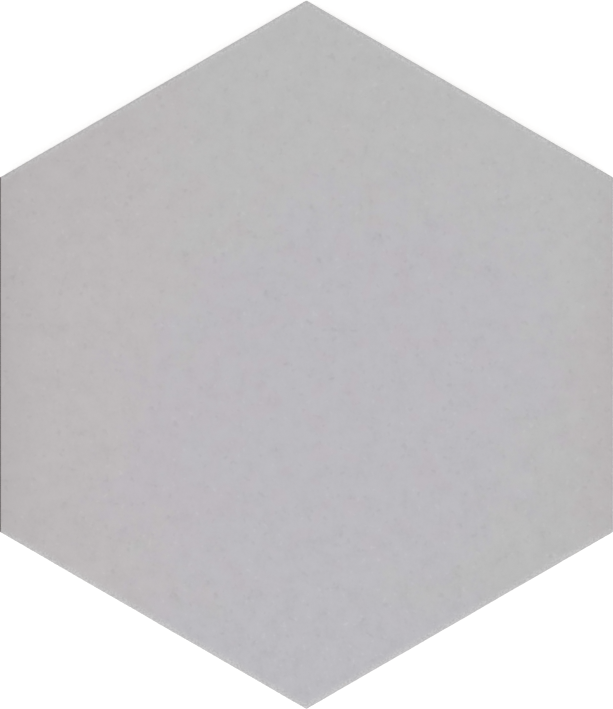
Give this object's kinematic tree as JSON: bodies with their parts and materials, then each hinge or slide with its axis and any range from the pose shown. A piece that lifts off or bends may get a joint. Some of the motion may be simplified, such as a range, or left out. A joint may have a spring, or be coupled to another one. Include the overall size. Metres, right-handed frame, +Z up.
{
  "type": "hexagon floor tile",
  "caption": "Plain matt hexagon floor tile with a softly rounded face edge, slightly drafted sides and a ribbed back for the adhesive.",
  "frame": {"origin": "centre of the back, on the plane that the tile rests on", "axes": "+Z up out of the wearing face, +Y towards a corner, +X square to a side"},
  "size_m": [0.175, 0.2018, 0.009],
  "materials": {
    "matt_porcelain": "matt"
  },
  "bodies": {
    "root": {"hexagon_tile": "matt_porcelain"}
  },
  "joints": []
}
